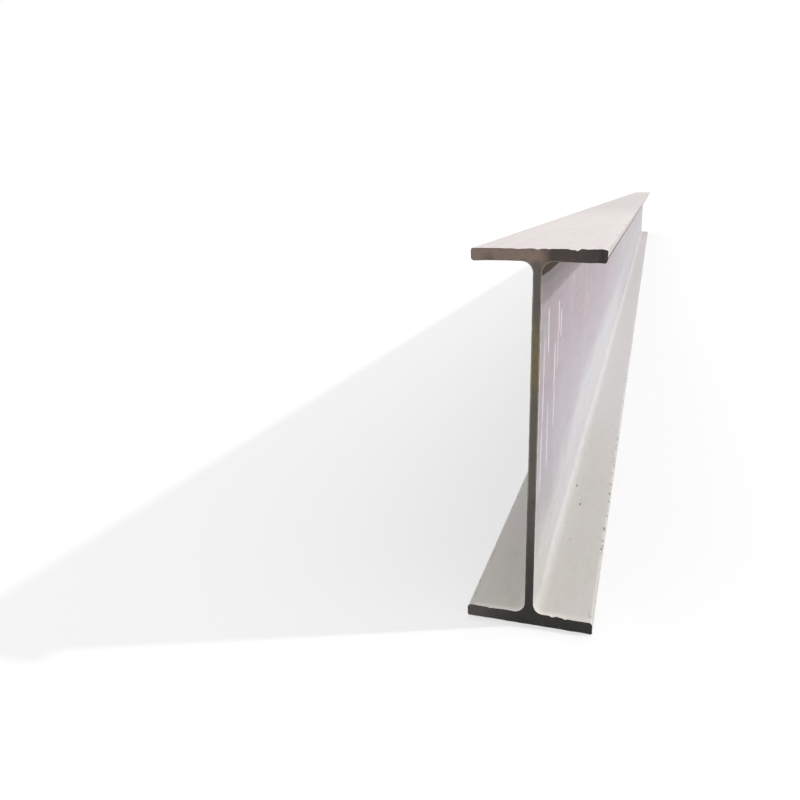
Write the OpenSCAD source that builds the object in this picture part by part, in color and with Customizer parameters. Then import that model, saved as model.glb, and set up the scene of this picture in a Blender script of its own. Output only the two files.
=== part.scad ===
// Hot-rolled steel H-beam: one bar of stock with parallel flanges, sawn square at both ends.
// The bar lies along Y and stands on its bottom flange. The origin is on the underside, at mid-length.

/* [Section] */
// Depth of the section, from the outside of one flange to the outside of the other
section_depth = 450; // [250:1:900]
// Width of both flanges
flange_width = 150; // [100:1:300]
// Thickness of both flanges
flange_thickness = 14; // [9:0.5:28]
// Thickness of the web
web_thickness = 9; // [6:0.5:16]

/* [Rounding] */
// Radius of the four root fillets between web and flanges
root_radius = 13; // [8:0.5:24]
// Radius on the edges of the flange tips that face the other flange
toe_radius = 4; // [1:0.5:5]
// Radius on the outer edges of the flange tips
rim_radius = 2; // [0.5:0.25:3]

/* [Stock] */
// Length that the bar is sawn to
stock_length = 9000; // [1000:50:12000]

/* [Hidden] */
$fn = 64;

steel_grey = "#8c8686";
half_depth = section_depth / 2;
half_width = flange_width / 2;
half_web = web_thickness / 2;
// Height from the section's middle to the inner face of a flange
inner_face = half_depth - flange_thickness;

// Repeats a shape drawn in the upper right quarter in all four quarters of the section
module in_four_quarters() {
    for (flip_x = [0, 1], flip_y = [0, 1])
        mirror([flip_x, 0]) mirror([0, flip_y]) children();
}

// What a round of this radius takes off, or adds to, a square corner at the origin:
// the spandrel between the two sides and the arc, in the quarter where x and y are positive
module spandrel(radius) {
    difference() {
        square(radius);
        translate([radius, radius]) circle(radius);
    }
}

// One flange, the upper one, with its four edges rounded
module flange_outline() {
    difference() {
        translate([-half_width, inner_face]) square([flange_width, flange_thickness]);
        for (flip_x = [0, 1]) mirror([flip_x, 0]) {
            translate([half_width, inner_face]) mirror([1, 0]) spandrel(toe_radius);
            translate([half_width, half_depth]) rotate(180) spandrel(rim_radius);
        }
    }
}

// The plate between the flanges
module web_outline() {
    translate([-half_web, -inner_face]) square([web_thickness, 2 * inner_face]);
}

// The rolled section, centred on the bar's axis
module beam_section() {
    for (flip_y = [0, 1]) mirror([0, flip_y]) flange_outline();
    web_outline();
    in_four_quarters() translate([half_web, inner_face]) mirror([0, 1]) spandrel(root_radius);
}

// The whole bar
module h_beam() {
    color(steel_grey)
        translate([0, stock_length / 2, half_depth])
            rotate([90, 0, 0])
                linear_extrude(stock_length) beam_section();
}

h_beam();
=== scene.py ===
"""Looks of a hot-rolled steel H-beam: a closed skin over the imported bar, a floor, light and a camera."""
import math
import random
from types import SimpleNamespace

import bpy
import numpy as np
from mathutils import Matrix, Vector, geometry, noise


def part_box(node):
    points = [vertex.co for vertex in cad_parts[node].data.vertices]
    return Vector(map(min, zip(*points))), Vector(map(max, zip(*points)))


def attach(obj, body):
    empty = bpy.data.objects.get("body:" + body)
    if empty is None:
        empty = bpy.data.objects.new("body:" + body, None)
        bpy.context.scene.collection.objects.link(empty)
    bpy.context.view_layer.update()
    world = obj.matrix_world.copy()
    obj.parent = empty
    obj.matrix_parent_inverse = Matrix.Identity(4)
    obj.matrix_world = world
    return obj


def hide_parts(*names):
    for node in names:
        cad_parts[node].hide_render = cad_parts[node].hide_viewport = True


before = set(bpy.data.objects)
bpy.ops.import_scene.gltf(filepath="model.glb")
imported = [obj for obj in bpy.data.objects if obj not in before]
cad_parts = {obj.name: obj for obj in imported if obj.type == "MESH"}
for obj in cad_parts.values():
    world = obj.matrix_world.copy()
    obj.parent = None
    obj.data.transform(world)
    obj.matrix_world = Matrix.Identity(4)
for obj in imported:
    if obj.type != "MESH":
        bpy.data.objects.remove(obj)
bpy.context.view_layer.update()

# Overall sizes, from the frame, in metres
LOW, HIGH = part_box("h_beam")
WIDTH = HIGH[0] - LOW[0]
DEPTH = HIGH[2] - LOW[2]
LENGTH = HIGH[1] - LOW[1]
NEAR_END, FAR_END = LOW[1], HIGH[1]

# Sizes of the rolled section that the box doesn't give, in metres
FLANGE_THICKNESS = 0.014
WEB_THICKNESS = 0.009
ROOT_RADIUS = 0.013
TOE_RADIUS = 0.004
RIM_RADIUS = 0.002
TOP_INSIDE = DEPTH - FLANGE_THICKNESS

# How finely the skin is divided: segments of an arc, lengths in metres, and a sharp edge in degrees
ARC_SEGMENTS = {"seam": 0, "rim": 4, "toe": 5, "root": 7}
BODY_STEP = 0.024
END_STEP = 0.002
END_ZONE = 0.040
END_RINGS = 12
SHORT_STRIDE = 0.004
SHORT_STRIDE_ZONE = 0.5
STRIDE_GROWTH = 0.02
LONG_STRIDE = 0.034
SHARP_ANGLE = 50.0

# The saw cuts: lengths in metres, the slope of each cut, and what is added to the noise of the lip
FLANGE_BURR = 0.0002
WEB_BURR = 0.0005
WEB_BURR_SPREAD = 0.018
BURR_REACH = 0.0010
CUT_SKEW = (0.050, -0.020)
SKEW_REACH = 0.30
RAGGED_HEIGHT = 0.0004
RAGGED_REACH = 0.0030
CHIP_REACH = 0.0060
LIP_HEIGHT = 0.0009
LIP_WIDTH = 0.0015
LIP_BIAS = 0.25
SAW_RIPPLE = 0.0002

# The points of a sawn face: step and margin in metres, scatter as a share of a step, and a seed
SAWN_STEP = 0.003
SAWN_MARGIN = 2 * LIP_WIDTH
SAWN_SCATTER = 0.25
SAWN_SEED = 5

# How triangles fill a sawn face: only inside its edge, with points merged that lie this close, in metres
INSIDE_ONLY = 1
MERGE_DISTANCE = 1e-7

# Chips out of the edges of the cuts, and burrs where the depth is below zero: x, z, half width, depth
NEAR_CHIPS = (
    (0.039, DEPTH, 0.008, 0.0014),
    (0.0435, DEPTH, 0.0035, 0.0016),
    (-0.022, DEPTH, 0.005, 0.0008),
    (0.000, DEPTH, 0.004, 0.0009),
    (0.012, DEPTH, 0.003, 0.0007),
    (0.055, DEPTH, 0.006, 0.0006),
    (0.074, DEPTH, 0.004, 0.0008),
    (0.060, TOP_INSIDE, 0.030, -0.0006),
    (0.074, TOP_INSIDE, 0.005, -0.0010),
    (-0.042, TOP_INSIDE, 0.036, 0.0012),
    (0.018, FLANGE_THICKNESS, 0.030, -0.0012),
    (0.028, FLANGE_THICKNESS, 0.004, 0.0014),
    (0.043, FLANGE_THICKNESS, 0.003, 0.0012),
    (0.034, FLANGE_THICKNESS, 0.003, -0.0006),
    (-0.048, FLANGE_THICKNESS, 0.004, 0.0009),
)
FAR_CHIPS = (
    (-0.036, DEPTH, 0.007, 0.0017),
    (0.018, DEPTH, 0.004, 0.0008),
    (0.055, TOP_INSIDE, 0.012, -0.0012),
    (-0.040, FLANGE_THICKNESS, 0.005, 0.0013),
    (0.050, FLANGE_THICKNESS, 0.003, 0.0009),
)

# What rolling and handling leave on the bar: lengths in metres, and the count and seed of the nicks
WEB_WAVE = 0.0004
FLANGE_WAVE = 0.0004
NICKS_PER_EDGE = 32
NICK_SEED = 11
NICK_DEPTH = (0.0005, 0.0016)
NICK_HALF_LENGTH = (0.004, 0.014)
NICK_HALF_STRIDES = 1.5
NICK_REACH = 0.007
SEEN_NICKS = (0.200, 0.367, 0.434, 0.467, 0.506, 0.548, 0.634)
SEEN_NICK_HALF_LENGTH = 0.006
SEEN_NICK_DEPTH = 0.0014

# Noise that shapes the skin: how fast it runs along each of its three inputs, and where it starts
SWAY_WAVE = ((0.0, 1.3, 3.0), (0.3, 0.0, 0.0))
LIFT_WAVE = ((9.0, 1.7, 0.0), (0.0, 0.0, 4.1))
FINE_WAVE = ((420.0, 3.7, 0.0), (0.0, 0.0, 0.5))
BROAD_WAVE = ((130.0, 1.9, 0.0), (0.0, 0.0, 7.7))
LIP_WAVE = ((90.0, 8.1, 0.0), (0.0, 0.0, 5.2))
RIPPLE_WAVE = ((25.0, 2.3, 110.0), (0.0, 0.0, 0.0))


def section_corners():
    """Corners of the section as place, radius and kind, anticlockwise from the underside's middle."""
    half, web = WIDTH / 2, WEB_THICKNESS / 2
    right = [
        ((half, 0), RIM_RADIUS, "rim"),
        ((half, FLANGE_THICKNESS), TOE_RADIUS, "toe"),
        ((web, FLANGE_THICKNESS), ROOT_RADIUS, "root"),
        ((web, TOP_INSIDE), ROOT_RADIUS, "root"),
        ((half, TOP_INSIDE), TOE_RADIUS, "toe"),
        ((half, DEPTH), RIM_RADIUS, "rim"),
    ]
    left = [((-x, z), radius, kind) for (x, z), radius, kind in reversed(right)]
    return [((0, 0), 0, "seam")] + right + left


def corner_arc(before, corner, after, radius, count):
    """Points round one corner of the section, each with its outward direction."""
    here = np.array(corner)
    into, out_of = here - before, np.array(after) - here
    into, out_of = into / np.linalg.norm(into), out_of / np.linalg.norm(out_of)
    centre = here - radius * into + radius * out_of
    points = []
    for k in range(count + 1):
        turn = math.pi / 2 * k / max(count, 1)
        along = into * math.cos(turn) + out_of * math.sin(turn)
        at = centre + radius * (into * math.sin(turn) - out_of * math.cos(turn))
        points.append((at, np.array((along[1], -along[0]))))
    return points


def section_outline():
    """Points of the section: place, outward direction, and whether the plainer rings keep the point."""
    corners = section_corners()
    arcs = []
    for i, (place, radius, kind) in enumerate(corners):
        after = corners[(i + 1) % len(corners)][0]
        arcs.append(corner_arc(corners[i - 1][0], place, after, radius, ARC_SEGMENTS[kind]))
    outline = []
    for i, points in enumerate(arcs):
        outline += [(at, outward, True) for at, outward in points]
        start, end = points[-1][0], arcs[(i + 1) % len(arcs)][0][0]
        length = np.linalg.norm(end - start)
        strides = max(1, round(length / BODY_STEP))
        parts = max(1, round(length / strides / END_STEP))
        for k in range(1, strides * parts):
            at = start + (end - start) * k / (strides * parts)
            outline.append((at, points[-1][1], k % parts == 0))
    return outline


def stride_at(depth):
    """The distance between rings at a depth from the nearer end."""
    return min(SHORT_STRIDE + STRIDE_GROWTH * max(0.0, depth - SHORT_STRIDE_ZONE), LONG_STRIDE)


def ring_depths():
    """Depths from a sawn end to mid-length: close together beside the cut, then ever further apart."""
    depths = [END_ZONE * (k / (END_RINGS - 1)) ** 2 for k in range(END_RINGS)]
    while depths[-1] < LENGTH / 2:
        depths.append(depths[-1] + stride_at(depths[-1]))
    depths[-1] = LENGTH / 2
    return depths


def make_nicks():
    """Knocks along the flange edges: corner, half length and depth."""
    draw = random.Random(NICK_SEED)
    nicks = []
    for distance in SEEN_NICKS:
        corner = Vector((WIDTH / 2, NEAR_END, FLANGE_THICKNESS)) + Vector((0, distance, 0))
        nicks.append((corner, SEEN_NICK_HALF_LENGTH, SEEN_NICK_DEPTH))
    for side in (-1, 1):
        for height in (0, FLANGE_THICKNESS, TOP_INSIDE, DEPTH):
            for _ in range(NICKS_PER_EDGE):
                y = draw.uniform(NEAR_END + END_ZONE, FAR_END - END_ZONE)
                stride = stride_at(min(y - NEAR_END, FAR_END - y))
                half = max(draw.uniform(*NICK_HALF_LENGTH), NICK_HALF_STRIDES * stride)
                nicks.append((Vector((side * WIDTH / 2, y, height)), half, draw.uniform(*NICK_DEPTH)))
    return nicks


def smooth_bump(t):
    """1 at 0, falling smoothly to 0 at 1 and beyond."""
    t = min(abs(t), 1.0)
    return (1 - t * t) ** 2


def wave(place, speeds, start):
    """Noise from -1 to 1, by how fast it runs along each input and where it starts."""
    return noise.noise([p * speed + s for p, speed, s in zip(place, speeds, start)])


def rolled_place(x, y, z):
    """Where rolling really leaves a point of the straight bar: its faces run slightly out of true."""
    sway = wave((x, y, z), *SWAY_WAVE) * WEB_WAVE * z / DEPTH
    lift = wave((x, y, z), *LIFT_WAVE) * FLANGE_WAVE * z / DEPTH
    return Vector((x + sway, y, max(z + lift, LOW[2])))


def ragged_edge(at, around, depth, end):
    """How far ragged steel stands out beside a cut, with a higher and smoother burr on the web."""
    fine = wave((around, end, 0.0), *FINE_WAVE)
    broad = wave((around, end, 0.0), *BROAD_WAVE)
    between_flanges = FLANGE_THICKNESS <= at[1] <= TOP_INSIDE
    web_share = smooth_bump(at[0] / WEB_BURR_SPREAD) if between_flanges else 0.0
    ragged = (fine + broad) / 2 * RAGGED_HEIGHT * (1 - web_share / 2)
    burr = FLANGE_BURR + web_share * (WEB_BURR - FLANGE_BURR)
    return ragged * smooth_bump(depth / RAGGED_REACH) + burr * smooth_bump(depth / BURR_REACH)


def cut_skew(x, z, end):
    """How far a cut that isn't quite square moves a point along the bar, more so low down."""
    return -CUT_SKEW[end] * x * (1 - z / DEPTH)


def chipped_edge(at, depth, end):
    """How far chips take the upper or lower face of a flange down beside a cut, or burrs build it up."""
    down = 0.0
    for x, z, half, deep in (NEAR_CHIPS, FAR_CHIPS)[end]:
        if abs(at[1] - z) < TOE_RADIUS:
            down += deep * smooth_bump((at[0] - x) / half) * smooth_bump(depth / CHIP_REACH)
    return down


def cut_lip(around, end):
    """How far the burr at the edge of a cut stands off the sawn face."""
    return max(0.0, wave((around, end, 0.0), *LIP_WAVE) + LIP_BIAS) * LIP_HEIGHT


def in_section(x, z, margin):
    """True where a point lies inside the section, at least margin from its sides."""
    in_bottom = margin < z < FLANGE_THICKNESS - margin
    in_top = TOP_INSIDE + margin < z < DEPTH - margin
    in_flange = abs(x) < WIDTH / 2 - margin and (in_bottom or in_top)
    beside_web = FLANGE_THICKNESS - margin <= z <= TOP_INSIDE + margin
    return in_flange or (beside_web and abs(x) < WEB_THICKNESS / 2 - margin)


class BeamSkin:
    """Gathers the vertices, faces, texture places and marks of the closed skin."""

    # Where the rolled skin and the two sawn faces lie on the texture
    SIDE_LOW = 0.003
    SIDE_HIGH = 0.845
    CAP_LOW = 0.852
    CAP_LEFT = (0.01, 0.51)
    CAP_SCALE = 0.97

    def __init__(self):
        self.outline = section_outline()
        self.nicks = make_nicks()
        self.places, self.faces, self.texture, self.sawn = [], [], [], []
        self.marks = {"nick": [], "lip": []}
        spots = [at for at, _, _ in self.outline]
        steps = [np.linalg.norm(spots[i] - spots[i - 1]) for i in range(len(spots))]
        self.around = np.cumsum(steps) - steps[0]
        self.girth = sum(steps)

    def add_vertex(self, place, nick=0.0, lip=0.0):
        """Adds a vertex with its marks, and tells its number."""
        self.places.append(place)
        self.marks["nick"].append(nick)
        self.marks["lip"].append(lip)
        return len(self.places) - 1

    def add_face(self, corners, texture, sawn=False):
        """Adds a face by the numbers of its vertices and their places on the texture."""
        self.faces.append(corners)
        self.texture += texture
        self.sawn.append(sawn)

    def add_ring(self, y, depth, end, fine):
        """One ring round the section at y, as (index in the outline, vertex) pairs."""
        nearby = [nick for nick in self.nicks if abs(y - nick[0].y) < nick[1]]
        ring = []
        for i, (at, outward, kept) in enumerate(self.outline):
            if not (fine or kept):
                continue
            out = ragged_edge(at, self.around[i], depth, end)
            down = chipped_edge(at, depth, end)
            place = rolled_place(at[0] + out * outward[0], y, at[1] + (out - down) * outward[1])
            place.y += cut_skew(at[0], at[1], end) * max(0.0, 1 - depth / SKEW_REACH)
            if depth == 0.0:
                place.y += math.copysign(cut_lip(self.around[i], end), y)
            struck = 0.0
            for corner, half, deep in nearby:
                away = math.hypot(at[0] - corner.x, at[1] - corner.z)
                share = smooth_bump((y - corner.y) / half) * smooth_bump(away / NICK_REACH)
                place.x -= math.copysign(deep * share, corner.x)
                struck = max(struck, share * min(1.0, NICK_HALF_LENGTH[1] / half))
            ring.append((i, self.add_vertex(place, nick=struck, lip=float(depth == 0.0))))
        return ring

    def skin_texture(self, i, row, last_row, wrapped):
        """Where a point of the rolled skin lies on the texture."""
        around = 1.0 if wrapped else self.around[i] / self.girth
        return row / last_row, self.SIDE_LOW + around * (self.SIDE_HIGH - self.SIDE_LOW)

    def join_rings(self, first, second, row, last_row):
        """Faces between two rings, of which one may have more points than the other."""
        fine, plain = (first, second) if len(first) >= len(second) else (second, first)
        where = {i: k for k, (i, _) in enumerate(fine)}
        for k, point in enumerate(plain):
            wrapped = k + 1 == len(plain)
            after = plain[0] if wrapped else plain[k + 1]
            stop = len(fine) if wrapped else where[after[0]]
            run = [fine[m % len(fine)] for m in range(where[point[0]], stop + 1)]
            self.join_run(point, after, run, wrapped, fine is first, row, last_row)

    def join_run(self, left, right, run, wrapped, fine_first, row, last_row):
        """Faces between one edge of the plainer ring and the run of points beside it on the finer."""
        fine_row, plain_row = (row, row + 1) if fine_first else (row + 1, row)

        def corner(point, on_row, at_end):
            return point[1], self.skin_texture(point[0], on_row, last_row, wrapped and at_end)

        start, stop = corner(left, plain_row, False), corner(right, plain_row, True)
        beside = [corner(p, fine_row, k == len(run) - 1) for k, p in enumerate(run)]
        if len(run) == 2:
            loops = [[start, stop, beside[1], beside[0]]]
        else:
            middle = len(run) // 2
            loops = [[start, beside[k + 1], beside[k]] for k in range(middle)]
            loops.append([start, stop, beside[middle]])
            loops += [[stop, beside[k + 1], beside[k]] for k in range(middle, len(run) - 1)]
        for loop in loops:
            loop = loop if fine_first else loop[::-1]
            self.add_face([v for v, _ in loop], [t for _, t in loop])

    def sawn_points(self, edge, end):
        """Points inside a sawn face: a line just inside its edge, and a scattered field."""
        inner = [at - LIP_WIDTH * Vector(outward) for at, (_, outward, _) in zip(edge, self.outline)]
        draw = random.Random(SAWN_SEED + end)
        for row in range(round(DEPTH / SAWN_STEP) + 1):
            for column in range(round(WIDTH / SAWN_STEP) + 1):
                x = -WIDTH / 2 + SAWN_STEP * (column + draw.uniform(-SAWN_SCATTER, SAWN_SCATTER))
                z = SAWN_STEP * (row + draw.uniform(-SAWN_SCATTER, SAWN_SCATTER))
                if in_section(x, z, SAWN_MARGIN):
                    inner.append(Vector((x, z)))
        return inner

    def add_sawn_face(self, ring, y, end):
        """Closes the bar with a sawn face that carries the saw's ripple."""
        count = len(ring)
        edge = [self.places[vertex].xz for _, vertex in ring]
        flat = edge + self.sawn_points(edge, end)
        rim = [(k, (k + 1) % count) for k in range(count)]
        face = [list(range(count))]
        filled = geometry.delaunay_2d_cdt(flat, rim, face, INSIDE_ONLY, MERGE_DISTANCE)
        points, _, triangles, origins, _, _ = filled
        vertices = []
        for point, origin in zip(points, origins):
            if origin and origin[0] < count:
                vertices.append(ring[origin[0]][1])
                continue
            ripple = wave((point.x, end, point.y), *RIPPLE_WAVE) * SAW_RIPPLE
            along = y + ripple + cut_skew(point.x, point.y, end)
            vertices.append(self.add_vertex(Vector((point.x, along, point.y))))
        for triangle in triangles:
            a, b, c = (points[k] for k in triangle)
            clockwise = (b - a).cross(c - a) < 0
            loop = triangle[::-1] if clockwise == (end == 0) else triangle
            across = [(points[k].x + WIDTH / 2) * self.CAP_SCALE for k in loop]
            upward = [points[k].y * self.CAP_SCALE for k in loop]
            texture = [(self.CAP_LEFT[end] + u, self.CAP_LOW + v) for u, v in zip(upward, across)]
            self.add_face([vertices[k] for k in loop], texture, sawn=True)

    def build(self):
        """Rings from end to end, the skin between them, and the two sawn faces."""
        half = ring_depths()
        rows = [(NEAR_END + d, d, 0) for d in half] + [(FAR_END - d, d, 1) for d in half[-2::-1]]
        last_row = len(rows) - 1
        rings = [self.add_ring(y, depth, end, depth <= END_ZONE) for y, depth, end in rows]
        for row in range(last_row):
            self.join_rings(rings[row], rings[row + 1], row, last_row)
        self.add_sawn_face(rings[0], NEAR_END, 0)
        self.add_sawn_face(rings[-1], FAR_END, 1)

    def to_object(self, name, materials):
        """The skin as an object: the first material where it was rolled, the second on the cuts."""
        mesh = bpy.data.meshes.new(name)
        mesh.from_pydata(self.places, [], self.faces)
        mesh.polygons.foreach_set("use_smooth", [True] * len(self.faces))
        mesh.polygons.foreach_set("material_index", [int(s) for s in self.sawn])
        texture_map = mesh.uv_layers.new(name="OFBake")
        texture_map.data.foreach_set("uv", np.array(self.texture, dtype=np.float32).ravel())
        for mark, values in self.marks.items():
            mesh.attributes.new(mark, "FLOAT", "POINT").data.foreach_set("value", values)
        for material in materials:
            mesh.materials.append(material)
        mesh.set_sharp_from_angle(angle=math.radians(SHARP_ANGLE))
        piece = bpy.data.objects.new(name, mesh)
        bpy.context.scene.collection.objects.link(piece)
        return piece


def srgb(red, green, blue):
    """A colour written in 0 to 255 steps of the sRGB curve, as the linear RGBA that a shader takes."""
    def linear(v):
        v = v / 255
        return v / 12.92 if v <= 0.04045 else ((v + 0.055) / 1.055) ** 2.4
    return linear(red), linear(green), linear(blue), 1.0


class Nodes:
    """Short ways to add nodes to a shader's tree. An input takes a value or another node's output."""

    # Where a soft spot is full, a Mix node's colour sockets, and the axis that slanted marks turn about
    SPOT_CORE = 0.2
    MIX_FIRST, MIX_SECOND, MIX_RESULT = 6, 7, 2
    SLANT_AXIS = (1.0, 0.0, 1.0)

    def __init__(self, tree):
        self.tree = tree
        tree.nodes.clear()

    def add(self, kind, inputs=(), **settings):
        """A new node of a kind, with its inputs by name or number."""
        node = self.tree.nodes.new("ShaderNode" + kind)
        for name, value in settings.items():
            setattr(node, name, value)
        for key, value in dict(inputs).items():
            if isinstance(value, bpy.types.NodeSocket):
                self.tree.links.new(value, node.inputs[key])
            else:
                node.inputs[key].default_value = value
        return node

    def math(self, operation, *values, clamp=False):
        return self.add("Math", enumerate(values), operation=operation, use_clamp=clamp).outputs[0]

    def product(self, first, *others):
        for other in others:
            first = self.math("MULTIPLY", first, other)
        return first

    def largest(self, first, *others):
        for other in others:
            first = self.math("MAXIMUM", first, other)
        return first

    def mix(self, factor, first, second):
        """The first colour where the factor is 0, and the second where it is 1."""
        inputs = {0: factor, self.MIX_FIRST: first, self.MIX_SECOND: second}
        return self.add("Mix", inputs, data_type="RGBA").outputs[self.MIX_RESULT]

    def shade(self, colour, value, low, high):
        """The colour times low where the value is 0, and times high where it is 1."""
        scale = self.math("MULTIPLY_ADD", value, high - low, low)
        return self.add("VectorMath", {0: colour, "Scale": scale}, operation="SCALE").outputs[0]

    def span(self, value, low, high, to_low=0.0, to_high=1.0):
        """A smooth step from to_low at low to to_high at high."""
        inputs = {0: value, 1: low, 2: high, 3: to_low, 4: to_high}
        return self.add("MapRange", inputs, interpolation_type="SMOOTHSTEP").outputs[0]

    def spot(self, values, centre, halves):
        """1 in a soft-edged spot with round corners, by its centre and its half sizes."""
        away = 0.0
        for value, middle, half in zip(values, centre, halves):
            share = self.math("MULTIPLY_ADD", value, 1 / half, -middle / half)
            square = self.math("MULTIPLY", share, share)
            away = self.math("MULTIPLY_ADD", square, square, away)
        return self.span(away, 1.0, self.SPOT_CORE)

    def wander(self, value, amount):
        """A noise from 0 to 1 as a shift of up to half the amount either way."""
        return self.math("MULTIPLY_ADD", value, amount, -amount / 2)

    def noise(self, vector, scales, detail, roughness):
        """Noise from 0 to 1, with its own scale along each axis."""
        stretched = self.add("VectorMath", {0: vector, 1: scales}, operation="MULTIPLY").outputs[0]
        inputs = {"Vector": stretched, "Scale": 1.0, "Detail": detail, "Roughness": roughness}
        return self.add("TexNoise", inputs).outputs[0]

    def slanted(self, vector, angle):
        """The place turned a little, so that marks along it cross the web and the flanges at a slant."""
        inputs = {"Vector": vector, "Axis": self.SLANT_AXIS, "Angle": angle}
        return self.add("VectorRotate", inputs, rotation_type="AXIS_ANGLE").outputs[0]

    def mark(self, name):
        """A mark that the mesh carries."""
        return self.add("Attribute", attribute_name=name).outputs["Fac"]

    def bump(self, height, strength, distance):
        """The normal of a surface with fine relief on it."""
        inputs = {"Strength": strength, "Distance": distance, "Height": height}
        return self.add("Bump", inputs).outputs[0]

    def finish(self, **inputs):
        """Ends the tree with a principled shader."""
        shader = self.add("BsdfPrincipled", {k.replace("_", " "): v for k, v in inputs.items()})
        self.tree.links.new(shader.outputs[0], self.add("OutputMaterial").inputs[0])


def new_material(name):
    """An empty material and the ways to add nodes to it."""
    material = bpy.data.materials.new(name)
    material.use_nodes = True
    return material, Nodes(material.node_tree)


# Where along the noise the near end lies, in metres
PATTERN_START = -3.0


def surface_places(n):
    """Where a point of the bar lies, as values for the shaders."""
    own_place = n.add("TexCoord").outputs["Object"]
    x, y, z = n.add("SeparateXYZ", {0: own_place}).outputs
    to_pattern = (0.0, PATTERN_START - NEAR_END, 0.0)
    from_middle = n.math("ABSOLUTE", n.math("SUBTRACT", z, DEPTH / 2))
    return SimpleNamespace(
        place=n.add("VectorMath", {0: own_place, 1: to_pattern}, operation="ADD").outputs[0],
        x=x,
        z=z,
        facing_up=n.add("SeparateXYZ", {0: n.add("NewGeometry").outputs["Normal"]}).outputs[2],
        across=n.math("ABSOLUTE", x),
        from_flange=n.math("SUBTRACT", DEPTH / 2 - FLANGE_THICKNESS, from_middle),
        from_near=n.math("SUBTRACT", y, NEAR_END),
        from_end=n.math("SUBTRACT", LENGTH / 2, n.math("ABSOLUTE", y)),
    )


# Colours of the rolled skin
MAUVE_SCALE = srgb(185, 169, 178)
LILAC_SCALE = srgb(197, 190, 198)
# Pale colour of the painted reflection of the lit bottom flange, low on the web's right face
SHEEN_PALE = srgb(221, 218, 221)
FOOT_DUST = srgb(217, 214, 211)
FOOT_GREY = srgb(194, 192, 188)
GREY_SCALE = srgb(192, 187, 185)
# Light grey of a painted sheen, grazing light on the web further from the near end
FAR_SHEEN = srgb(206, 204, 204)
ROSE_SCALE = srgb(197, 176, 181)
WARM_DUST = srgb(231, 222, 221)
CREAM_DUST = srgb(229, 224, 218)
PINK_DUST = srgb(210, 206, 200)
GREEN_DUST = srgb(208, 208, 199)
# Paler dust on the bottom flange away from the ends, partly a painted grazing sheen
PALE_DUST_SHEEN = srgb(219, 217, 214)
# Dark brown: painted shade along the toes and in knocked chips, and real pits, specks and a scratch
DARK_BROWN = srgb(84, 74, 68)
# Brown in the upper roots: dirt, darkened further as painted shade under the top flange
ROOT_DIRT_SHADE = srgb(88, 74, 57)
# Greyish brown of the painted shade on the web under the top flange
UNDER_FLANGE_SHADE = srgb(114, 102, 94)
PALE_RUST = srgb(158, 128, 108)
DEEP_RUST = srgb(104, 80, 66)
# Bright bare steel with a painted highlight, beside the cuts
BARE_GLINT = srgb(238, 230, 224)
FRESH_CHALK = srgb(248, 243, 245)
FADED_CHALK = srgb(232, 218, 227)

# Noise on the rolled skin: cycles a metre along x, y and z, then detail and roughness
CLOUD_NOISE = ((7.0, 1.6, 7.0), 4.0, 0.55)
TINT_NOISE = ((12.0, 9.0, 12.0), 4.0, 0.55)
PATCH_NOISE = ((26.0, 8.0, 26.0), 5.0, 0.60)
FLAKE_NOISE = ((90.0, 22.0, 90.0), 6.0, 0.60)
STREAK_NOISE = ((170.0, 1.1, 170.0), 4.0, 0.60)
HAIRLINE_NOISE = ((520.0, 2.2, 520.0), 1.0, 0.55)
SCUFF_NOISE = ((340.0, 3.0, 340.0), 1.0, 0.55)
RUN_NOISE = ((40.0, 14.0, 1.5), 3.0, 0.55)
FLECK_NOISE = ((60.0, 22.0, 60.0), 6.0, 0.65)
EDGE_NOISE = ((60.0, 55.0, 60.0), 3.0, 0.55)
PIT_NOISE = ((160.0, 110.0, 160.0), 2.0, 0.55)
BRUSH_NOISE = ((300.0, 300.0, 22.0), 3.0, 0.55)
RAGGED_NOISE = ((120.0, 60.0, 60.0), 4.0, 0.55)
GRAIN_NOISE = ((900.0, 900.0, 900.0), 2.0, 0.55)

# Levels of a noise, a mark or a slope: where something starts to show and where it is full
FLAKE_LEVELS = (0.57, 0.59)
HAIRLINE_LEVELS = (0.66, 0.74)
GREY_LEVELS = (0.50, 0.66)
ROSE_LEVELS = (0.48, 0.34)
DUST_TINT_LEVELS = (0.42, 0.62)
DUST_SLOPE = (0.45, 0.95)
DUST_LEVELS = (0.15, 0.50)
WIPED_LEVELS = (0.50, 0.72)
ROOT_LEVELS = (0.20, 0.50)
BROKEN_LEVELS = (0.63, 0.70)
FLECK_LEVELS = (0.54, 0.70)
SCUFF_LEVELS = (0.68, 0.76)
SCUFFED_CLOUDS = (0.45, 0.60)
PIT_LEVELS = (0.725, 0.75)
PITTED_CLOUDS = (0.42, 0.60)
SCRATCH_LEVELS = (0.35, 0.55)
NICK_LEVELS = (0.45, 0.90)
BRUSH_LEVELS = (0.35, 0.55)
BARE_GLINT_LEVELS = (0.30, 0.60)
NOT_BELOW = (-0.5, -0.1)

# How much each covers of what lies below it: one share, or the shares at both ends of a span
# Share of scale colour where the painted reflection on the foot is gone
NO_SHEEN_SHARE = 0.75
MAUVE_SHARES = (1.0, 0.6)
LEFT_MAUVE_LOSS = 0.35
# Strength of the painted sheen far along the web
FAR_SHEEN_SHARE = 0.5
GREY_SHARE = 0.6
ROSE_SHARES = (0.4, 0.1)
TIP_DUST_SHARE = 0.8
DUST_SHARES = (0.80, 0.97)
WIPED_SHARES = (1.0, 0.86)
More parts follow.
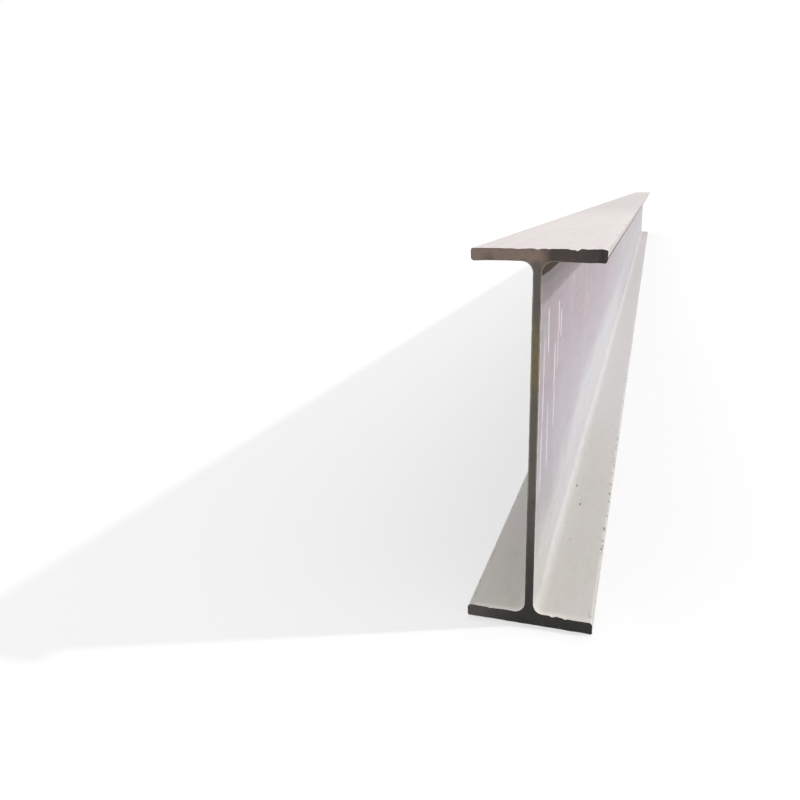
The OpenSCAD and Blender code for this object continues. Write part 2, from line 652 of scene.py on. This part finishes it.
# Strength of the painted shade under the top flange
FLANGE_SHADE_SHARE = 0.72
ROOT_SHARES = (0.85, 0.98)
UPPER_TOE_SHARE = 0.85
BROKEN_TOE_SHARE = 0.90
EDGE_RUST_SHARE = 0.45
CUT_RUST_SHARE = 0.60
PIT_SHARE = 0.70
SPECK_SHARE = 0.70
NICK_SHARE = 0.80
SCRATCH_SHARE = 0.30
FRESH_SHARE = 0.95
FADED_SHARE = 0.80
BRUSH_SHARES = (0.45, 1.0)
BARE_GLINT_SHARES = (0.35, 0.80)

# How light a colour is where a noise or a band is 0 and where it is 1
DULL_END_SHADE = (1.0, 0.85)
HAIRLINE_SHADE = (1.0, 0.80)
FLAKE_SHADE = (1.0, 0.94)
STREAK_SHADE = (0.94, 1.06)
RUN_SHADE = (0.94, 1.06)
CLOUD_SHADE = (0.94, 1.06)
PATCH_SHADE = (0.95, 1.05)
DULL_TOP_SHADE = (1.0, 0.87)
DUST_CLOUD_SHADE = (0.96, 1.04)
DUST_FLAKE_SHADE = (1.0, 0.97)

# Bands on the bar, in metres: where each starts and where it is full
# The pale foot on the web's right face is a painted reflection of the lit bottom flange: where its top
# changes height, its heights, its soft edge and where it fades out
SHEEN_FOOT_CHANGE = (0.15, 0.75)
SHEEN_FOOT_HEIGHTS = (0.100, 0.155)
SHEEN_FOOT_FADE = (-0.045, 0.045)
SHEEN_FOOT_END = (1.6, 4.0)
DUSTY_FOOT_HEIGHT = (0.17, 0.09)
DUSTY_FOOT_END = (0.30, 0.08)
LEFT_FACE = (0.0, -0.001)
RIGHT_FACE = (0.0, 0.001)
UNDERSIDE = (0.010, 0.004)
MAUVE_BAND = (0.15, 0.33)
MAUVE_FADE = (0.3, 3.0)
# Where the painted sheen of grazing light starts and is full along the web
FAR_SHEEN_REACH = (1.2, 3.0)
DULL_END = (0.30, 0.06)
UPPER_HALF = (DEPTH / 2, DEPTH / 2 + 0.010)
LOWER_FLANGE = (2 * FLANGE_THICKNESS, FLANGE_THICKNESS)
TOP_DULLING = (0.8, 2.2)
# Where the bottom flange's dust grows paler as a painted sheen
BOTTOM_PALING = (0.4, 1.3)
TIPS = (0.0715, 0.0742)
CHANNEL_ROOF = (-0.0030, -0.0010)
ROOT_SIDE = (0.022, 0.016)
# Where the brown dirt and painted shade in the upper roots start and are full
ROOT_BAND = (0.0175, 0.0155)
# Where the painted shade on the web under the top flange starts and is full
FLANGE_SHADE_BAND = (0.054, 0.010)
# The toe bands, where the painted shade line along the toes lies
TOE_SIDE = (0.0705, 0.0730)
TOE_INNER = (-0.0065, -0.0045)
TOE_OUTER = (0.0010, 0.0)
RUSTY_EDGE = (0.066, 0.075)
RUSTY_CUT = (0.035, 0.0)
KNOCKED_EDGE = (0.0700, 0.0730)
# Where bare steel and a painted highlight beside the cuts start and are full
BARE_GLINT_CUT = (0.014, 0.003)

# How far the edges of bands and marks wander, in metres
PATCH_WANDER = 0.09
STREAK_WANDER = 0.06
ROOT_WANDER = 0.006
STROKE_WANDER = 0.006
SPECK_WANDER = 0.004

# Slant of the fine scratches, in radians, and how much each makes the steel lighter or darker
SCUFFS = ((0.30, 1.10), (-0.55, 0.84))

# Plain upright chalk strokes on the web's right face: from the near end, height, half height, lean
FRESH_STROKES = (
    (0.087, 0.344, 0.032, -0.10),
    (0.207, 0.345, 0.024, -0.18),
    (0.237, 0.331, 0.023, -0.06),
    (0.165, 0.286, 0.034, 0.10),
)
FADED_STROKES = (
    (0.047, 0.288, 0.060, 0.05),
    (0.038, 0.196, 0.048, 0.12),
    (0.201, 0.302, 0.030, -0.06),
    (0.168, 0.228, 0.030, 0.14),
    (0.099, 0.208, 0.048, -0.04),
)
FRESH_HALF_WIDTH = 0.0062
FADED_HALF_WIDTH = 0.0080

# Specks on top of the bottom flange: distance from the near end and x, and half of each
SEEN_SPECKS = ((0.463, 0.0175), (0.377, 0.0300), (0.212, 0.0728))
SPECK_HALVES = (0.0060, 0.0016)

# A scratch low on the web's right face: distance from the near end and height, and half of each
SEEN_SCRATCH = (0.200, 0.0315)
SCRATCH_HALVES = (0.100, 0.0013)

# Gloss and relief of the rolled skin: a base, what each mark adds, and the bump's strength and height
ROLLED_METALLIC = 0.15
ROLLED_ROUGHNESS = 0.42
STREAK_ROUGHNESS = 0.22
DUST_ROUGHNESS = 0.14
# Roughness added where dirt, pits and the painted shade marks lie
DARK_MARK_ROUGHNESS = 0.45
STREAK_RELIEF = 0.6
GRAIN_RELIEF = 0.35
PATCH_RELIEF = 0.4
SPECK_RELIEF = 0.8
FLAKE_RELIEF = 0.15
ROLLED_BUMP = (0.5, 0.0006)


def rolled_tone(n, at):
    """The scale that rolling leaves: mauve above, lilac below, and a pale foot on the web's right face
    that is a painted reflection of the lit bottom flange.
    """
    height = n.math("ADD", at.z, n.wander(at.patches, PATCH_WANDER))
    height = n.math("ADD", height, n.wander(at.streaks, STREAK_WANDER))
    # Painted reflection of the lit bottom flange: pale low on the web's right face near the near end
    foot = n.span(at.from_near, *SHEEN_FOOT_CHANGE, *SHEEN_FOOT_HEIGHTS)
    lilac = n.span(n.math("SUBTRACT", height, foot), *SHEEN_FOOT_FADE)
    left_face = n.span(at.x, *LEFT_FACE)
    no_sheen = n.largest(n.span(at.from_near, *SHEEN_FOOT_END), left_face, n.span(at.z, *UNDERSIDE))
    lilac = n.largest(lilac, n.product(no_sheen, NO_SHEEN_SHARE))
    mauve = n.product(n.span(height, *MAUVE_BAND), n.span(at.from_near, *MAUVE_FADE, *MAUVE_SHARES))
    mauve = n.product(mauve, n.math("MULTIPLY_ADD", left_face, -LEFT_MAUVE_LOSS, 1.0))
    dusty_foot = n.product(n.span(at.z, *DUSTY_FOOT_HEIGHT), n.span(at.from_near, *DUSTY_FOOT_END))
    sheen_colour = n.mix(dusty_foot, SHEEN_PALE, FOOT_DUST)
    lilac_colour = n.mix(dusty_foot, LILAC_SCALE, FOOT_GREY)
    colour = n.mix(lilac, sheen_colour, lilac_colour)
    colour = n.mix(mauve, colour, MAUVE_SCALE)
    # Painted sheen: the web paler and greyer further from the near end
    far_sheen = n.product(lilac, n.span(at.from_near, *FAR_SHEEN_REACH), FAR_SHEEN_SHARE)
    colour = n.mix(far_sheen, colour, FAR_SHEEN)
    grey = n.product(lilac, n.span(at.tints, *GREY_LEVELS), GREY_SHARE)
    colour = n.mix(grey, colour, GREY_SCALE)
    rose = n.product(n.span(at.tints, *ROSE_LEVELS), n.span(at.from_near, *MAUVE_FADE, *ROSE_SHARES))
    colour = n.mix(n.product(lilac, rose), colour, ROSE_SCALE)
    dull_end = n.product(lilac, n.span(at.from_end, *DULL_END))
    colour = n.shade(colour, dull_end, *DULL_END_SHADE)
    colour = n.shade(colour, at.hairlines, *HAIRLINE_SHADE)
    colour = n.shade(colour, at.flakes, *FLAKE_SHADE)
    colour = n.shade(colour, at.streaks, *STREAK_SHADE)
    colour = n.shade(colour, at.runs, *RUN_SHADE)
    colour = n.shade(colour, at.clouds, *CLOUD_SHADE)
    return n.shade(colour, at.patches, *PATCH_SHADE)


def add_dust(n, at, colour):
    """Pale dust on what faces up and on the flange tips: warm on the top flange, greyer on the other,
    which grows paler away from the ends as a painted sheen.
    """
    tint = n.span(at.patches, *DUST_TINT_LEVELS)
    top = n.mix(tint, WARM_DUST, CREAM_DUST)
    top = n.shade(top, n.span(at.from_end, *TOP_DULLING), *DULL_TOP_SHADE)
    bottom = n.mix(tint, PINK_DUST, GREEN_DUST)
    # Dust with a painted sheen: paler further from the ends
    bottom = n.mix(n.span(at.from_end, *BOTTOM_PALING), bottom, PALE_DUST_SHEEN)
    dust_colour = n.mix(n.span(at.z, *UPPER_HALF), bottom, top)
    dust_colour = n.shade(dust_colour, at.clouds, *DUST_CLOUD_SHADE)
    dust_colour = n.shade(dust_colour, at.flakes, *DUST_FLAKE_SHADE)
    tips = n.product(n.span(at.across, *TIPS), TIP_DUST_SHARE)
    dust = n.largest(n.span(at.facing_up, *DUST_SLOPE), tips)
    dust = n.product(dust, n.span(at.patches, *DUST_LEVELS, *DUST_SHARES))
    dust = n.product(dust, n.span(at.streaks, *WIPED_LEVELS, *WIPED_SHARES))
    return n.mix(dust, colour, dust_colour), dust


def add_dirt_and_shade(n, at, colour):
    """Painted shade under the top flange, brown dirt with painted shade in the upper roots, a painted
    shade line along the toes, and rust beside cuts and edges.
    """
    upper = n.span(at.z, *UPPER_HALF)
    under_flange = n.product(upper, n.span(at.from_flange, *CHANNEL_ROOF), n.span(at.across, *ROOT_SIDE))
    # Painted shade: the web darker in a band under the top flange
    flange_shade = n.product(under_flange, n.span(at.from_flange, *FLANGE_SHADE_BAND), FLANGE_SHADE_SHARE)
    colour = n.mix(flange_shade, colour, UNDER_FLANGE_SHADE)
    # Brown dirt in the upper root fillets, with painted shade under the flange
    root_reach = n.math("ADD", at.from_flange, n.wander(at.patches, ROOT_WANDER))
    root = n.product(under_flange, n.span(root_reach, *ROOT_BAND))
    root = n.product(root, n.span(at.patches, *ROOT_LEVELS, *ROOT_SHARES))
    colour = n.mix(root, colour, ROOT_DIRT_SHADE)
    broken = n.span(n.noise(at.place, *EDGE_NOISE), *BROKEN_LEVELS)
    # Painted shade: a dark line along the toes, full under the top flange and broken elsewhere
    toe = n.product(
        n.span(at.across, *TOE_SIDE),
        n.span(at.from_flange, *TOE_INNER),
        n.span(at.from_flange, *TOE_OUTER),
        n.largest(n.product(upper, UPPER_TOE_SHARE), n.product(broken, BROKEN_TOE_SHARE)),
    )
    colour = n.mix(toe, colour, DARK_BROWN)
    flecks = n.span(n.noise(at.place, *FLECK_NOISE), *FLECK_LEVELS)
    near_edge = n.product(n.span(at.across, *RUSTY_EDGE), EDGE_RUST_SHARE)
    near_cut = n.product(n.span(at.from_end, *RUSTY_CUT), CUT_RUST_SHARE)
    rust = n.product(flecks, n.largest(near_edge, near_cut))
    colour = n.mix(rust, colour, n.mix(at.patches, DEEP_RUST, PALE_RUST))
    return colour, n.largest(root, toe, rust)


def add_scuffs(n, at, colour):
    """Fine scratches at a slant, here and there."""
    for slant, tone in SCUFFS:
        lines = n.span(n.noise(n.slanted(at.place, slant), *SCUFF_NOISE), *SCUFF_LEVELS)
        colour = n.shade(colour, n.product(lines, n.span(at.clouds, *SCUFFED_CLOUDS)), 1.0, tone)
    return colour


def add_specks(n, at, colour):
    """Small dark pits and specks, a scratch, and knocks along the flange edges darkened with painted shade
    in their chips.
    """
    pits = n.span(n.noise(at.place, *PIT_NOISE), *PIT_LEVELS)
    pits = n.product(pits, n.span(at.clouds, *PITTED_CLOUDS))
    ragged = n.wander(n.noise(at.place, *RAGGED_NOISE), SPECK_WANDER)
    along, across = n.math("ADD", at.from_near, ragged), n.math("ADD", at.x, ragged)
    seen = 0.0
    for centre in SEEN_SPECKS:
        seen = n.largest(n.spot((along, across), centre, SPECK_HALVES), seen)
    seen = n.product(seen, n.span(at.z, *LOWER_FLANGE))
    scratch = n.spot((at.from_near, at.z), SEEN_SCRATCH, SCRATCH_HALVES)
    scratch = n.product(scratch, n.span(at.x, *RIGHT_FACE), n.span(at.patches, *SCRATCH_LEVELS))
    # Knocks: their chips darkened with painted shade
    nicks = n.product(n.span(n.mark("nick"), *NICK_LEVELS), n.span(at.across, *KNOCKED_EDGE))
    specks = n.largest(
        n.product(pits, PIT_SHARE),
        n.product(seen, SPECK_SHARE),
        n.product(nicks, NICK_SHARE),
        n.product(scratch, SCRATCH_SHARE),
    )
    return n.mix(specks, colour, DARK_BROWN), specks


def stroke_mask(n, at, strokes, half_width):
    """1 inside a group of plain upright chalk strokes on the web's right face."""
    ragged = n.wander(n.noise(at.place, *RAGGED_NOISE), STROKE_WANDER)
    across, upward = n.math("ADD", at.from_near, ragged), n.math("ADD", at.z, ragged)
    mask = 0.0
    for distance, height, half_height, lean in strokes:
        along = n.math("MULTIPLY_ADD", at.z, -lean, across)
        centre = (distance - lean * height, height)
        mask = n.largest(n.spot((along, upward), centre, (half_width, half_height)), mask)
    worn = n.span(n.noise(at.place, *BRUSH_NOISE), *BRUSH_LEVELS, *BRUSH_SHARES)
    return n.product(mask, worn, n.span(at.x, *RIGHT_FACE))


def add_chalk(n, at, colour):
    """Chalk strokes, some faded and some fresh."""
    faded = stroke_mask(n, at, FADED_STROKES, FADED_HALF_WIDTH)
    fresh = stroke_mask(n, at, FRESH_STROKES, FRESH_HALF_WIDTH)
    colour = n.mix(n.product(faded, FADED_SHARE), colour, FADED_CHALK)
    return n.mix(n.product(fresh, FRESH_SHARE), colour, FRESH_CHALK)


def add_bare_glint(n, at, colour, dirt_and_shade):
    """Bright steel beside the cuts, where the scale has flaked off and where a painted highlight lies on
    edges that do not face down.
    """
    patchy = n.span(at.patches, *BARE_GLINT_LEVELS, *BARE_GLINT_SHARES)
    # Bare steel and a painted highlight, kept off faces that look down
    bare_glint = n.product(n.span(at.from_end, *BARE_GLINT_CUT), patchy)
    bare_glint = n.product(bare_glint, n.math("SUBTRACT", 1.0, dirt_and_shade), n.span(at.facing_up, *NOT_BELOW))
    return n.mix(bare_glint, colour, BARE_GLINT)


def rolled_relief(n, at, specks):
    """Height of the fine relief: streaks, patches and grain, with specks and flakes sunk in."""
    grain = n.noise(at.place, *GRAIN_NOISE)
    relief = n.math("MULTIPLY_ADD", at.streaks, STREAK_RELIEF, n.product(grain, GRAIN_RELIEF))
    relief = n.math("MULTIPLY_ADD", at.patches, PATCH_RELIEF, relief)
    relief = n.math("SUBTRACT", relief, n.product(specks, SPECK_RELIEF))
    return n.math("SUBTRACT", relief, n.product(at.flakes, FLAKE_RELIEF))


def mill_scale():
    """Hot-rolled skin: mauve and grey scale in streaks, under chalk, dust, dirt, rust and scratches, with
    painted shade under the top flange, along the toes and in knocks, a painted reflection and sheen on the
    web, and painted highlights beside the cuts.
    """
    material, n = new_material("mill_scale")
    at = surface_places(n)
    at.clouds = n.noise(at.place, *CLOUD_NOISE)
    at.tints = n.noise(at.place, *TINT_NOISE)
    at.patches = n.noise(at.place, *PATCH_NOISE)
    at.flakes = n.span(n.noise(at.place, *FLAKE_NOISE), *FLAKE_LEVELS)
    at.streaks = n.noise(at.place, *STREAK_NOISE)
    at.runs = n.noise(at.place, *RUN_NOISE)
    at.hairlines = n.span(n.noise(at.place, *HAIRLINE_NOISE), *HAIRLINE_LEVELS)

    colour = add_chalk(n, at, rolled_tone(n, at))
    colour, dust = add_dust(n, at, colour)
    colour, dirt_and_shade = add_dirt_and_shade(n, at, colour)
    colour = add_scuffs(n, at, colour)
    colour, specks = add_specks(n, at, colour)
    colour = add_bare_glint(n, at, colour, dirt_and_shade)

    rough = n.math("MULTIPLY_ADD", at.streaks, STREAK_ROUGHNESS, ROLLED_ROUGHNESS)
    rough = n.math("ADD", rough, n.product(dust, DUST_ROUGHNESS))
    rough = n.math("ADD", rough, n.product(n.largest(dirt_and_shade, specks), DARK_MARK_ROUGHNESS), clamp=True)
    normal = n.bump(rolled_relief(n, at, specks), *ROLLED_BUMP)
    n.finish(Base_Color=colour, Metallic=ROLLED_METALLIC, Roughness=rough, Normal=normal)
    return material


# Colours of the sawn faces: stained cut steel, written darker partly as painted shade
SAWN_BLACK = srgb(43, 42, 39)
SAWN_LOW = srgb(88, 82, 78)
SAWN_GREY = srgb(101, 95, 91)
SAWN_BROWN = srgb(140, 121, 110)
SAWN_OLIVE = srgb(120, 112, 82)
SAWN_DARK = srgb(62, 55, 53)
SAWN_RUST = srgb(112, 86, 74)
# Bright burr beside the web's cut, partly bare steel and partly a painted highlight
SAWN_BURR_GLINT = srgb(190, 172, 152)

# Noise on the sawn faces: cycles a metre along x, y and z, then detail and roughness
STAIN_NOISE = ((30.0, 3.0, 18.0), 5.0, 0.60)
BLOTCH_NOISE = ((90.0, 3.0, 60.0), 5.0, 0.65)
SAW_LINE_NOISE = ((6.0, 1.0, 1300.0), 2.0, 0.55)

# Bands on the sawn faces, in metres: where each starts and where it is full
BLACK_FOOT = (-0.065, -0.015)
GREY_WEB = (0.01, 0.20)
OLIVE_WEB_FOOT = (0.26, 0.32)
OLIVE_WEB_HEAD = (0.378, 0.348)
BROWN_HEAD = (0.415, 0.437)
DARK_TIP_HEAD = (0.40, 0.43)
DARK_TIP = (-0.001, 0.017)
DARKEST_TIP = (0.045, 0.070)
# A painted shade line near the right tip of the top flange's cut: its place and half width
TIP_SHADE_LINE = 0.0695
TIP_SHADE_HALF = 0.0022
RIDGED_WEB = (-0.002, 0.001)
RIDGED_SIDE = (0.036, 0.022)
RIDGED_HEIGHT = (0.02, 0.30)
BLACK_RIM_HEAD = (0.42, 0.44)

# How far the edges of those bands wander, in metres
STAIN_RISE = 0.12
STAIN_DRIFT = 0.04
TIP_SHADE_WANDER = 0.003

# Levels of noise, or of the lip's mark, where something starts to show and where it is full
RUSTY_BLOTCHES = (0.54, 0.70)
DARK_BLOTCHES = (0.46, 0.30)
RIDGE_FOOT = (0.05, 0.35)
RIDGE_CREST = (0.95, 0.60)
RIDGE_STAINS = (0.35, 0.60)
BLACK_RIM = (0.60, 0.95)

# How much each covers of what lies below it: one share, or the shares at both ends of a span
OLIVE_SHARE = 0.85
DARK_TIP_SHARE = 0.90
DARKEST_TIP_SHARE = 0.50
TIP_SHADE_SHARE = 0.80
BLOTCH_SHARE = 0.50
RIDGE_SHARES = (0.30, 0.90)
BLACK_RIM_SHARES = (0.35, 0.80)

# Shade, gloss and relief of the sawn faces, as for the rolled skin
SAW_LINE_SHADE = (0.8, 1.2)
SAWN_METALLIC = 0.25
SAWN_ROUGHNESS = 0.50
STAIN_ROUGHNESS = 0.25
SAW_LINE_RELIEF = 0.7
BLOTCH_RELIEF = 0.6
SAWN_BUMP = (0.6, 0.0005)


def sawn_tone(n, at, stains, blotches):
    """Dark below, brown on top, olive on the upper web, with a dark right tip, a painted shade line near
    its edge, and rusty blotches.
    """
    height = n.math("ADD", at.z, n.wander(stains, STAIN_RISE))
    sideways = n.math("ADD", at.x, n.wander(stains, STAIN_DRIFT))
    foot = n.mix(n.span(sideways, *BLACK_FOOT), SAWN_LOW, SAWN_BLACK)
    colour = n.mix(n.span(height, *GREY_WEB), foot, SAWN_GREY)
    olive = n.product(n.span(height, *OLIVE_WEB_FOOT), n.span(height, *OLIVE_WEB_HEAD))
    colour = n.mix(n.product(olive, OLIVE_SHARE), colour, SAWN_OLIVE)
    colour = n.mix(n.span(height, *BROWN_HEAD), colour, SAWN_BROWN)
    right_tip = n.product(n.span(at.z, *DARK_TIP_HEAD), n.span(sideways, *DARK_TIP))
    colour = n.mix(n.product(right_tip, DARK_TIP_SHARE), colour, SAWN_DARK)
    darkest = n.product(right_tip, n.span(sideways, *DARKEST_TIP), DARKEST_TIP_SHARE)
    colour = n.mix(darkest, colour, SAWN_BLACK)
    # Painted shade: a black line near the right tip
    ragged = n.math("ADD", at.x, n.wander(blotches, TIP_SHADE_WANDER))
    tip_shade = n.product(n.spot((ragged,), (TIP_SHADE_LINE,), (TIP_SHADE_HALF,)), right_tip)
    colour = n.mix(n.product(tip_shade, TIP_SHADE_SHARE), colour, SAWN_BLACK)
    colour = n.mix(n.product(n.span(blotches, *RUSTY_BLOTCHES), BLOTCH_SHARE), colour, SAWN_RUST)
    return n.mix(n.product(n.span(blotches, *DARK_BLOTCHES), BLOTCH_SHARE), colour, SAWN_DARK)


def add_burr(n, at, colour, stains):
    """A bright ridge beside the edge of the web's cut, partly bare burr and partly a painted highlight,
    and a dark rim at the edge itself.
    """
    lip = n.mark("lip")
    burr_glint = n.product(n.span(lip, *RIDGE_FOOT), n.span(lip, *RIDGE_CREST))
    burr_glint = n.product(burr_glint, n.span(stains, *RIDGE_STAINS, *RIDGE_SHARES))
    burr_glint = n.product(burr_glint, n.span(at.from_flange, *RIDGED_WEB), n.span(at.across, *RIDGED_SIDE))
    colour = n.mix(n.product(burr_glint, n.span(at.z, *RIDGED_HEIGHT)), colour, SAWN_BURR_GLINT)
    rim = n.product(n.span(lip, *BLACK_RIM), n.span(at.z, *BLACK_RIM_HEAD, *BLACK_RIM_SHARES))
    return n.mix(rim, colour, SAWN_BLACK)


def sawn_steel():
    """Sawn faces: stained and blotched steel, darkened partly as painted shade, with fine saw lines and a
    burred edge.
    """
    material, n = new_material("sawn_steel")
    at = surface_places(n)
    stains = n.noise(at.place, *STAIN_NOISE)
    blotches = n.noise(at.place, *BLOTCH_NOISE)
    lines = n.noise(at.place, *SAW_LINE_NOISE)

    colour = n.shade(sawn_tone(n, at, stains, blotches), lines, *SAW_LINE_SHADE)
    colour = add_burr(n, at, colour, stains)
    rough = n.math("MULTIPLY_ADD", stains, STAIN_ROUGHNESS, SAWN_ROUGHNESS)
    relief = n.math("MULTIPLY_ADD", lines, SAW_LINE_RELIEF, n.product(blotches, BLOTCH_RELIEF))
    normal = n.bump(relief, *SAWN_BUMP)
    n.finish(Base_Color=colour, Metallic=SAWN_METALLIC, Roughness=rough, Normal=normal)
    return material


# Light and backdrop: levels, lengths in metres, and the sun's width in degrees
WHITE = (1.0, 1.0, 1.0, 1.0)
BACKDROP = 1.0
SKY_LEVEL = 0.92
HORIZON_LEVEL = 0.42
SKY_RISE = (0.0, 0.9)
FLOOR_ALBEDO = 0.60
FLOOR_GLOW = 0.44
FLOOR_HALF = 60.0
FLOOR_GAP = 0.0002
FLOOR_CORNERS = ((-1, -1), (1, -1), (1, 1), (-1, 1))
SUN_FROM = Vector((1.0, 0.4, 0.75))
SUN_LEVEL = 1.15
SUN_ANGLE = 2.0

# The camera, read from the photograph: metres from the near end, then degrees, then the lens
CAMERA_FROM_NEAR_END = Vector((0.1189, -0.9303, 0.5166))
CAMERA_PAN = 16.645
CAMERA_TILT = -11.621
CAMERA_ROLL = -0.408
LEVEL_LOOK = 90.0
FOCAL_PIXELS = 837.7
IMAGE_PIXELS = 800
SENSOR_MM = 36.0
SHIFT_Y = -0.05
CLIP_NEAR, CLIP_FAR = 0.05, 200.0


def shown_directly(n):
    """1 for rays from the camera and for reflections, which see the backdrop and not the lamps."""
    path = n.add("LightPath").outputs
    return n.largest(path["Is Camera Ray"], path["Is Glossy Ray"], path["Is Transmission Ray"])


def make_world():
    """Soft light from a sky that is brighter overhead, in front of a plain white backdrop."""
    world = bpy.data.worlds.new("studio")
    world.use_nodes = True
    bpy.context.scene.world = world
    n = Nodes(world.node_tree)
    up = n.add("SeparateXYZ", {0: n.add("TexCoord").outputs["Generated"]}).outputs[2]
    level = n.span(up, *SKY_RISE, HORIZON_LEVEL, SKY_LEVEL)
    light = n.add("Background", {"Color": WHITE, "Strength": level})
    plain = n.add("Background", {"Color": WHITE, "Strength": BACKDROP})
    chosen = n.add("MixShader", {0: shown_directly(n), 1: light.outputs[0], 2: plain.outputs[0]})
    n.tree.links.new(chosen.outputs[0], n.add("OutputWorld").inputs[0])


def make_floor():
    """A plain pale floor that keeps the bar's shadow."""
    material, n = new_material("pale_floor")
    matt = n.add("BsdfDiffuse", {"Color": (FLOOR_ALBEDO, FLOOR_ALBEDO, FLOOR_ALBEDO, 1)})
    glow = n.add("Emission", {"Strength": n.product(shown_directly(n), FLOOR_GLOW)})
    both = n.add("AddShader", {0: matt.outputs[0], 1: glow.outputs[0]})
    n.tree.links.new(both.outputs[0], n.add("OutputMaterial").inputs[0])
    corners = [(x * FLOOR_HALF, y * FLOOR_HALF, 0.0) for x, y in FLOOR_CORNERS]
    mesh = bpy.data.meshes.new("floor")
    mesh.from_pydata(corners, [], [(0, 1, 2, 3)])
    mesh.materials.append(material)
    floor = bpy.data.objects.new("floor", mesh)
    floor.location.z = LOW[2] - FLOOR_GAP
    bpy.context.scene.collection.objects.link(floor)


def make_sun():
    """The key light, from above on the right, a little from behind."""
    lamp = bpy.data.lights.new("key", "SUN")
    lamp.energy = SUN_LEVEL
    lamp.angle = math.radians(SUN_ANGLE)
    key = bpy.data.objects.new("key", lamp)
    key.rotation_euler = SUN_FROM.to_track_quat("Z", "Y").to_euler()
    bpy.context.scene.collection.objects.link(key)


def make_camera():
    """The camera at the photograph's viewing angle."""
    data = bpy.data.cameras.new("camera")
    data.sensor_width = SENSOR_MM
    data.lens = FOCAL_PIXELS / IMAGE_PIXELS * SENSOR_MM
    data.shift_y = SHIFT_Y
    data.clip_start, data.clip_end = CLIP_NEAR, CLIP_FAR
    camera = bpy.data.objects.new("camera", data)
    turn = Matrix.Rotation(math.radians(CAMERA_PAN), 4, "Z")
    tilt = Matrix.Rotation(math.radians(LEVEL_LOOK + CAMERA_TILT), 4, "X")
    roll = Matrix.Rotation(math.radians(CAMERA_ROLL), 4, "Z")
    place = Vector((0, NEAR_END, 0)) + CAMERA_FROM_NEAR_END
    camera.matrix_world = Matrix.Translation(place) @ turn @ tilt @ roll
    bpy.context.scene.collection.objects.link(camera)
    bpy.context.scene.camera = camera


skin = BeamSkin()
skin.build()
beam = skin.to_object("beam", [mill_scale(), sawn_steel()])
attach(beam, "root")
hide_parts("h_beam")

make_world()
make_floor()
make_sun()
make_camera()
bpy.context.scene.view_settings.view_transform = "Standard"
